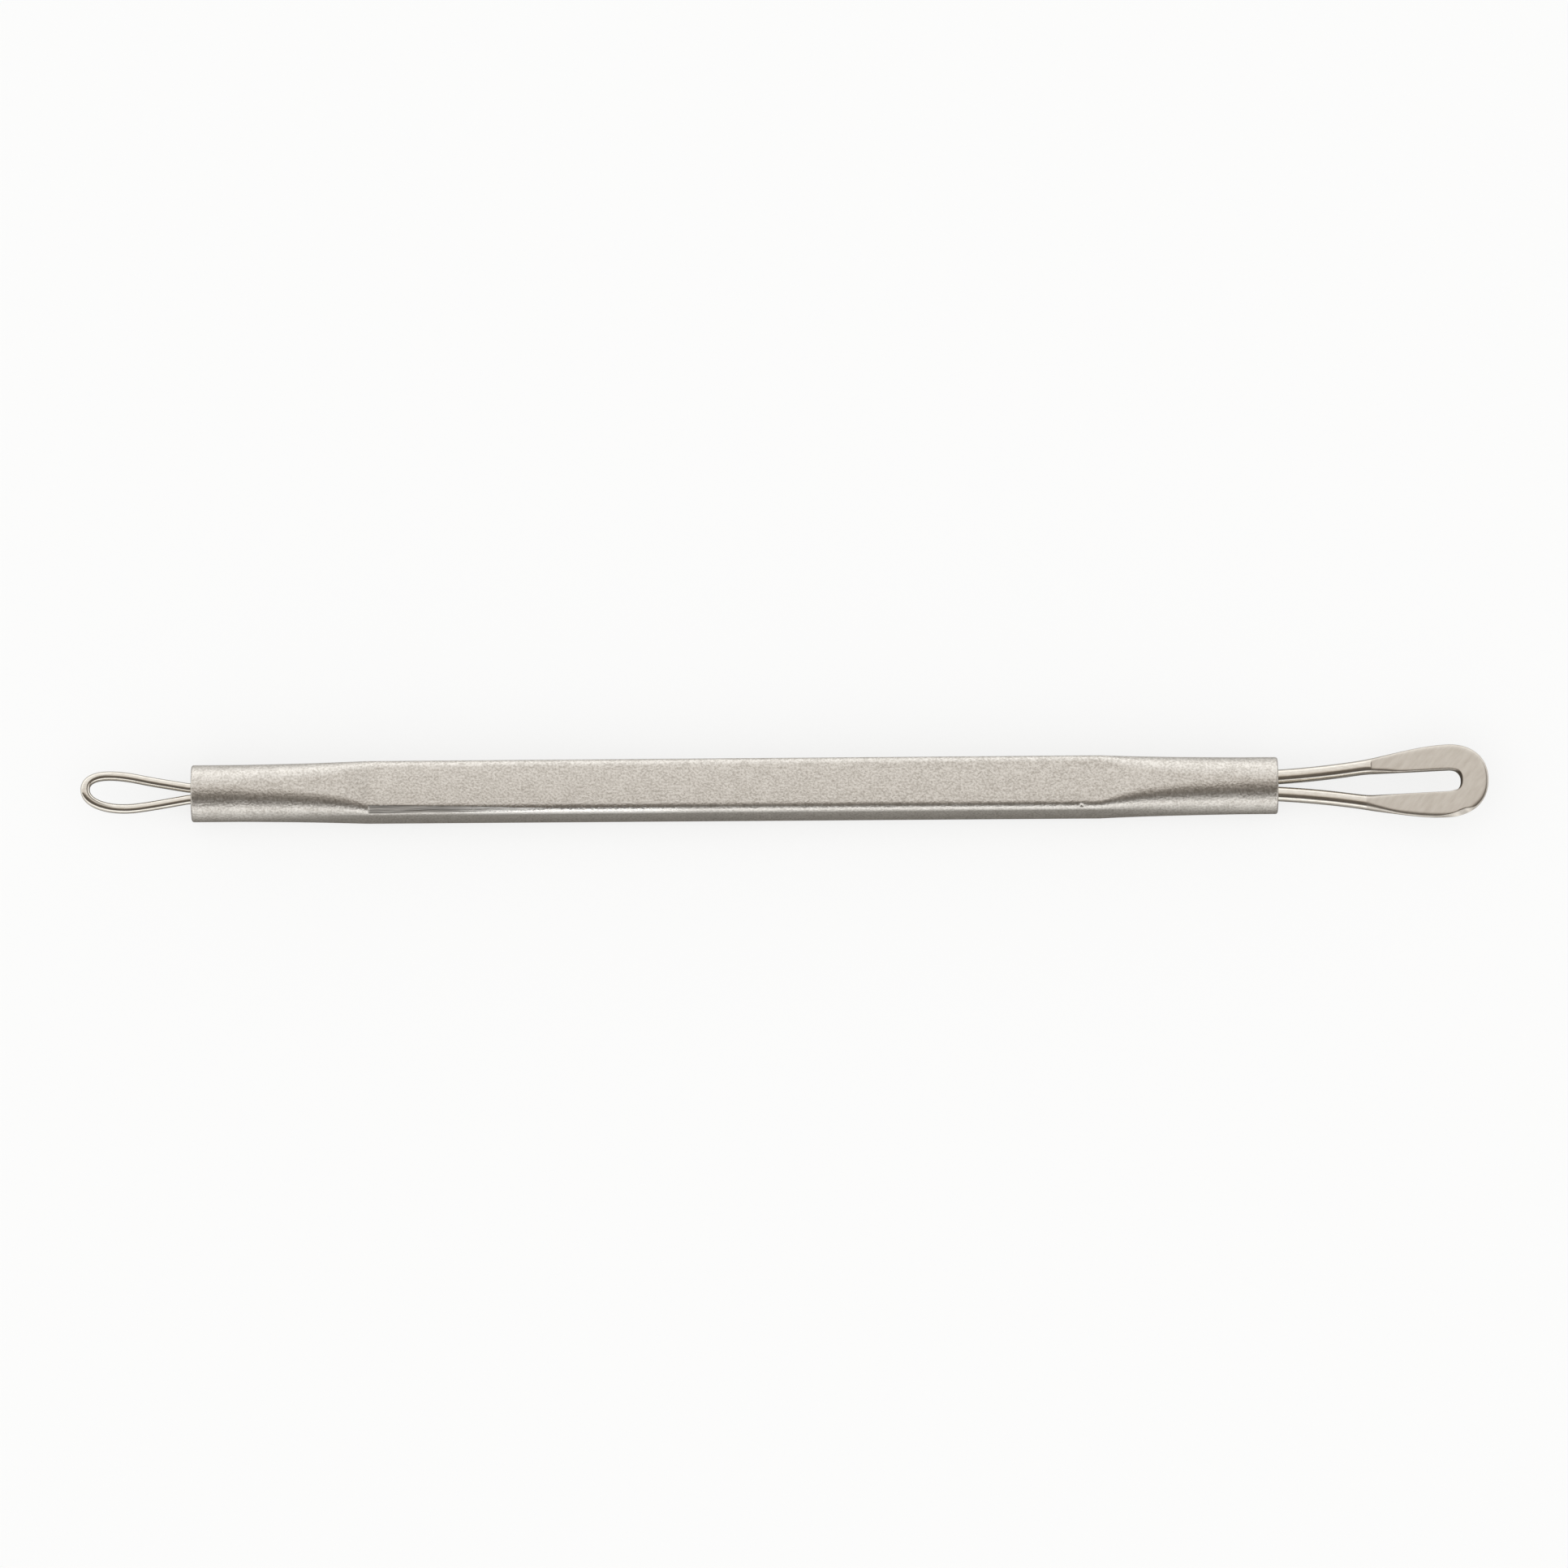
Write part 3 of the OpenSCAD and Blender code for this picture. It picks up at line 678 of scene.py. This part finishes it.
stage = {
    "floorSize": 4.0,
    "floorDrop": 0.00002,
    "floorColour": (0.96, 0.96, 0.955),
    "seenColour": (0.985, 0.985, 0.98),
    "cameraShare": 0.72,        # how far the camera's view of the floor is lifted to seenColour
    "shadeColour": (0.27, 0.26, 0.245),  # painted shadow: the floor as the metal sees it close to the tool
    "shadeReach": 0.0038,       # from the tool's axis, where that painted shadow starts to pale towards seenColour
    "shadeHalf": 0.005,         # and how much further out it is half way
    "skyLevel": 1.18,           # strength of the even sky that lights the floor
    "skyLean": 0.95,            # and how much brighter it is at the front
    # Brightness of the studio by the angle from overhead towards -Y, in degrees: a wide soft box over
    # the tool and behind it, a dark gap round the camera, and a strip box low at the front
    "boxes": [(-180, 0.5), (-92, 1.45), (-77, 1.4), (-63, 1.12), (-51, 0.97), (-29, 0.92), (-9, 0.82),
              (1, 0.63), (14, 0.13), (59, 0.05), (73, 1.0), (82, 1.6), (92, 1.6), (180, 0.5)],
    # Where the boxes end towards -X and +X, as angles: dark outside, full inside
    "ends": (-85, -65, 27, 45),
    "endColour": (0.09, 0.07, 0.05),
    "lowRing": (0.5, 0.3),      # but below this height of direction the boxes run all the way round
    "darkTint": (1.0, 0.8, 0.6),  # colour of the dark gap
}


def rayKinds(tree):  # what looks straight at the background, what is a metal's reflection of it
    rays = tree.nodes.new("ShaderNodeLightPath")
    direct = mathNode(tree, "ADD", rays.outputs["Is Camera Ray"], rays.outputs["Is Transmission Ray"])
    return direct, rays.outputs["Is Glossy Ray"], rays.outputs["Is Diffuse Ray"]


def mixShaders(tree, amount, a, b):
    node = tree.nodes.new("ShaderNodeMixShader")
    tree.links.new(amount, node.inputs[0])
    tree.links.new(a.outputs[0], node.inputs[1])
    tree.links.new(b.outputs[0], node.inputs[2])
    return node


def makeFloor():
    size = stage["floorSize"] / 2
    mesh = bpy.data.meshes.new("floor")
    mesh.from_pydata([(-size, -size, 0), (size, -size, 0), (size, size, 0), (-size, size, 0)], [],
                     [(0, 1, 2, 3)])
    floor = bpy.data.objects.new("floor", mesh)
    floor.location.z = -stage["floorDrop"]
    bpy.context.scene.collection.objects.link(floor)
    material = bpy.data.materials.new("paleFloor")
    material.use_nodes = True
    tree = material.node_tree
    tree.nodes.clear()
    direct, glossy, _ = rayKinds(tree)
    lit = tree.nodes.new("ShaderNodeBsdfDiffuse")
    # Painted shade: the metal's reflections see a darker copy of the floor, in shadeColour
    tree.links.new(mixColour(tree, glossy, stage["floorColour"], stage["shadeColour"]), lit.inputs["Color"])
    plain = addNode(tree, "ShaderNodeEmission", Color=(*stage["seenColour"], 1), Strength=1.0)
    # Reflected floor, a painted shadow round the tool: it pales with the distance d from the tool as (d -
    # reach) / (d - reach + half)
    where = tree.nodes.new("ShaderNodeTexCoord")
    parts = tree.nodes.new("ShaderNodeSeparateXYZ")
    tree.links.new(where.outputs["Object"], parts.inputs[0])
    along = mathNode(tree, "SUBTRACT", mathNode(tree, "ABSOLUTE", parts.outputs["X"], 0.0), 0.055)
    away = mathNode(tree, "POWER", mathNode(tree, "MAXIMUM", along, 0.0), 2.0)
    away = mathNode(tree, "ADD", away, mathNode(tree, "POWER", parts.outputs["Y"], 2.0))
    away = mathNode(tree, "SUBTRACT", mathNode(tree, "SQRT", away, 0.0), stage["shadeReach"])
    away = mathNode(tree, "MAXIMUM", away, 0.0)
    pale = mathNode(tree, "DIVIDE", away, mathNode(tree, "ADD", away, stage["shadeHalf"]))
    amount = mathNode(tree, "ADD", mathNode(tree, "MULTIPLY", direct, stage["cameraShare"]),
                      mathNode(tree, "MULTIPLY", glossy, pale))
    whole = mixShaders(tree, amount, lit, plain)
    result = tree.nodes.new("ShaderNodeOutputMaterial")
    tree.links.new(whole.outputs[0], result.inputs[0])
    mesh.materials.append(material)


def makeWorld():
    world = bpy.data.worlds.new("studio")
    world.use_nodes = True
    bpy.context.scene.world = world
    tree = world.node_tree
    tree.nodes.clear()
    where = tree.nodes.new("ShaderNodeTexCoord")
    parts = tree.nodes.new("ShaderNodeSeparateXYZ")
    tree.links.new(where.outputs["Generated"], parts.inputs[0])
    forward = mathNode(tree, "MULTIPLY", parts.outputs["Y"], -1.0)
    angle = mathNode(tree, "ARCTAN2", forward, parts.outputs["Z"])
    place = mathNode(tree, "ADD", mathNode(tree, "DIVIDE", angle, fullTurn), 0.5)
    ramp = tree.nodes.new("ShaderNodeValToRGB")
    tree.links.new(place, ramp.inputs[0])
    stops = ramp.color_ramp.elements
    boxes = stage["boxes"]
    while len(stops) < len(boxes):
        stops.new(0.5)
    for stop, (degrees, level) in zip(stops, boxes):
        stop.position = degrees / 360 + 0.5
        stop.color = (*(level * (c + (1 - c) * min(level, 1)) for c in stage["darkTint"]), 1)

    def fade(value, low, high):  # 0 at low, 1 at high, with a soft start and end
        edge = addNode(tree, "ShaderNodeMapRange", interpolation_type="SMOOTHSTEP")
        edge.inputs["From Min"].default_value = low
        edge.inputs["From Max"].default_value = high
        tree.links.new(value, edge.inputs["Value"])
        return edge.outputs["Result"]

    ends = [math.sin(math.radians(end)) for end in stage["ends"]]
    within = mathNode(tree, "MULTIPLY", fade(parts.outputs["X"], ends[0], ends[1]),
                      fade(parts.outputs["X"], ends[3], ends[2]))
    within = mathNode(tree, "MAXIMUM", within, fade(parts.outputs["Z"], *stage["lowRing"]))
    lit = mixColour(tree, within, stage["endColour"], ramp.outputs["Color"])
    studio = tree.nodes.new("ShaderNodeBackground")
    tree.links.new(lit, studio.inputs["Color"])
    # The floor is lit by an even sky that leans towards the front
    sky = tree.nodes.new("ShaderNodeBackground")
    lean = mathNode(tree, "MULTIPLY", parts.outputs["Y"], -stage["skyLean"])
    tree.links.new(mathNode(tree, "ADD", lean, stage["skyLevel"]), sky.inputs["Strength"])
    seen = addNode(tree, "ShaderNodeBackground", Color=(*stage["seenColour"], 1), Strength=1.0)
    direct, glossy, diffuse = rayKinds(tree)
    shown = mathNode(tree, "ADD", direct, mathNode(tree, "MULTIPLY", glossy, 0.05))
    whole = mixShaders(tree, shown, mixShaders(tree, diffuse, studio, sky), seen)
    result = tree.nodes.new("ShaderNodeOutputWorld")
    tree.links.new(whole.outputs[0], result.inputs[0])


def makeCamera():
    data = bpy.data.cameras.new("camera")
    data.sensor_width = view["sensor"]
    data.lens = view["sensor"] * view["distance"] / view["frameWidth"]
    data.clip_end = 10
    camera = bpy.data.objects.new("camera", data)
    turn = Matrix.Rotation(view["lean"], 3, "X")
    axis = Vector((0, 0, bar["radius"] * mm))
    camera.location = axis + turn @ Vector((view["aimX"], view["aimUp"], view["distance"]))
    camera.rotation_euler = (turn @ Matrix.Rotation(-view["roll"], 3, "Z")).to_euler()
    bpy.context.scene.collection.objects.link(camera)
    bpy.context.scene.camera = camera


bpy.context.scene.view_settings.view_transform = "Standard"
makeCamera()
makeFloor()
makeWorld()
print("stage set")

grainGroup = makeGrainGroup()
satinSteel = makeSatinSteel(grainGroup)
wireSteel = makeWire(grainGroup)
coinedSteel = makeCoined(grainGroup)
dullSolder = makeSolder(grainGroup)
print("materials made")

for make, material in ((makeHandle, satinSteel), (makeFineLoop, wireSteel), (makeSlottedLoop, coinedSteel)):
    piece = make()
    piece.data.materials.append(material)
    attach(piece, "root")
    print(piece.name, len(piece.data.polygons), "faces")
for name in ("fine_end_solder", "slotted_end_solder"):
    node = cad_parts[name]
    for slot in node.material_slots:
        slot.material = dullSolder
print("pieces made")

bpy.context.view_layer.update()
